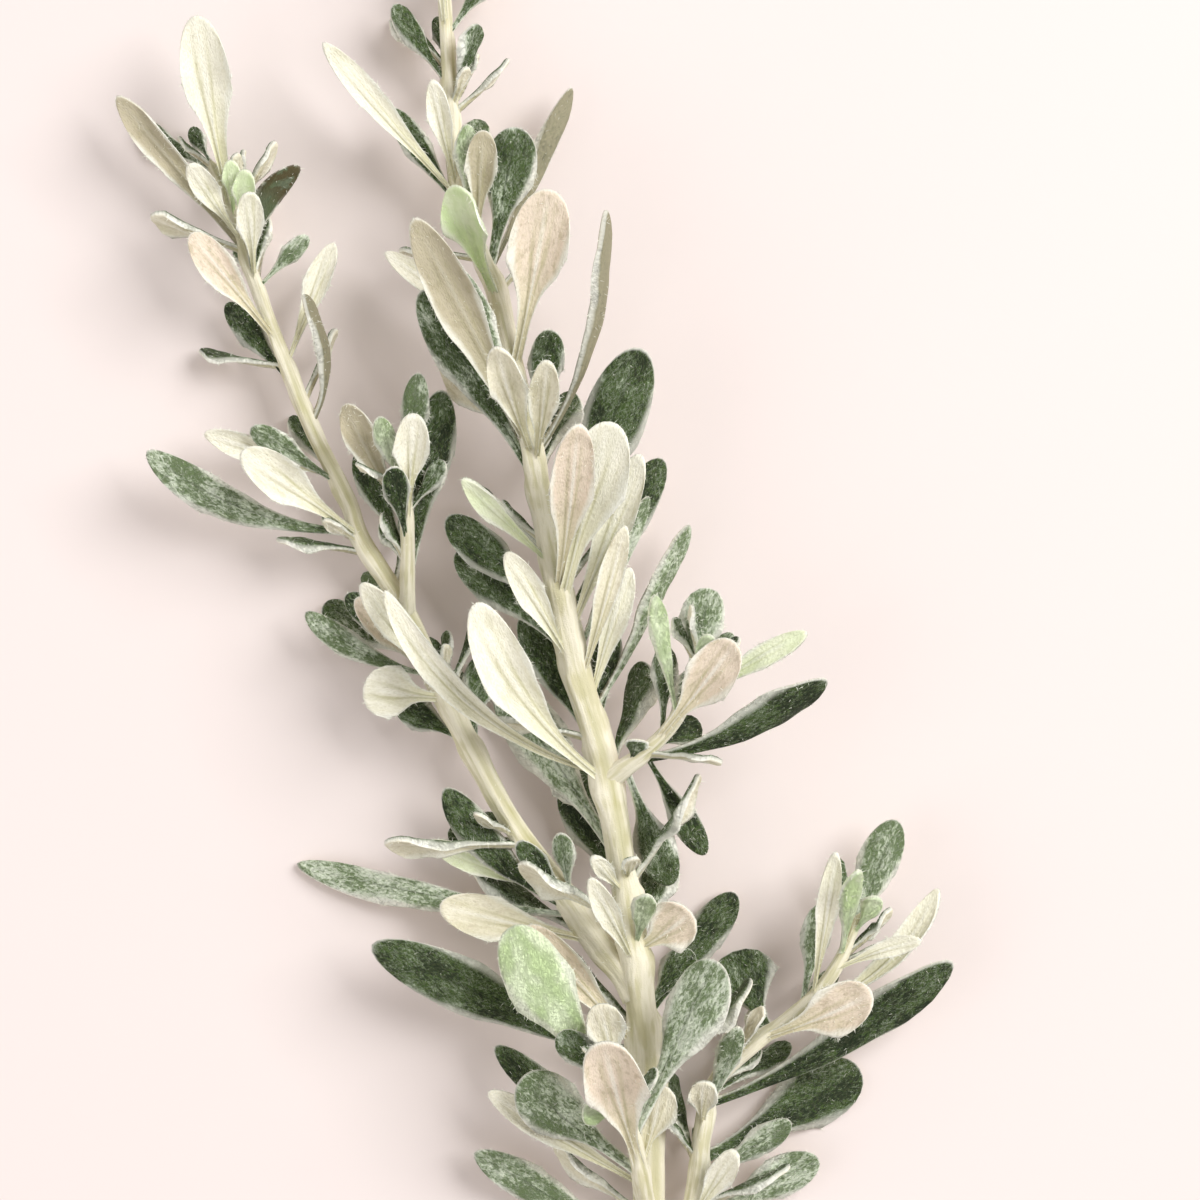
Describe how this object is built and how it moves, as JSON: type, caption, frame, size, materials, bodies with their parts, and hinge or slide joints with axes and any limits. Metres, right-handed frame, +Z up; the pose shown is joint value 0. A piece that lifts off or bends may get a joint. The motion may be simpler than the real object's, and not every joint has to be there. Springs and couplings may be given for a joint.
{
  "type": "wild rosemary sprig",
  "caption": "Cut sprig of wild rosemary lying down: a felted main stem with leafy side shoots and narrow spoon-shaped leaves, green-grey above and pale felt beneath.",
  "frame": {"origin": "on the surface that the sprig lies on, in the middle of the small flat spot under the main stem near its cut end", "axes": "+Y from the cut end along the sprig's length, +Z up from the surface, +X to the sprig's right as seen from above"},
  "size_m": [0.102, 0.184, 0.0302],
  "materials": {
    "stem_and_leaf": "matt grey-green leaf with white felt",
    "young_leaf": "matt pale felt"
  },
  "bodies": {
    "root": {"main_shoot": "stem_and_leaf", "left_branch": "stem_and_leaf", "left_side_shoot": "stem_and_leaf", "right_shoot": "stem_and_leaf", "lower_right_shoot": "stem_and_leaf", "front_shoot": "young_leaf"}
  },
  "joints": []
}
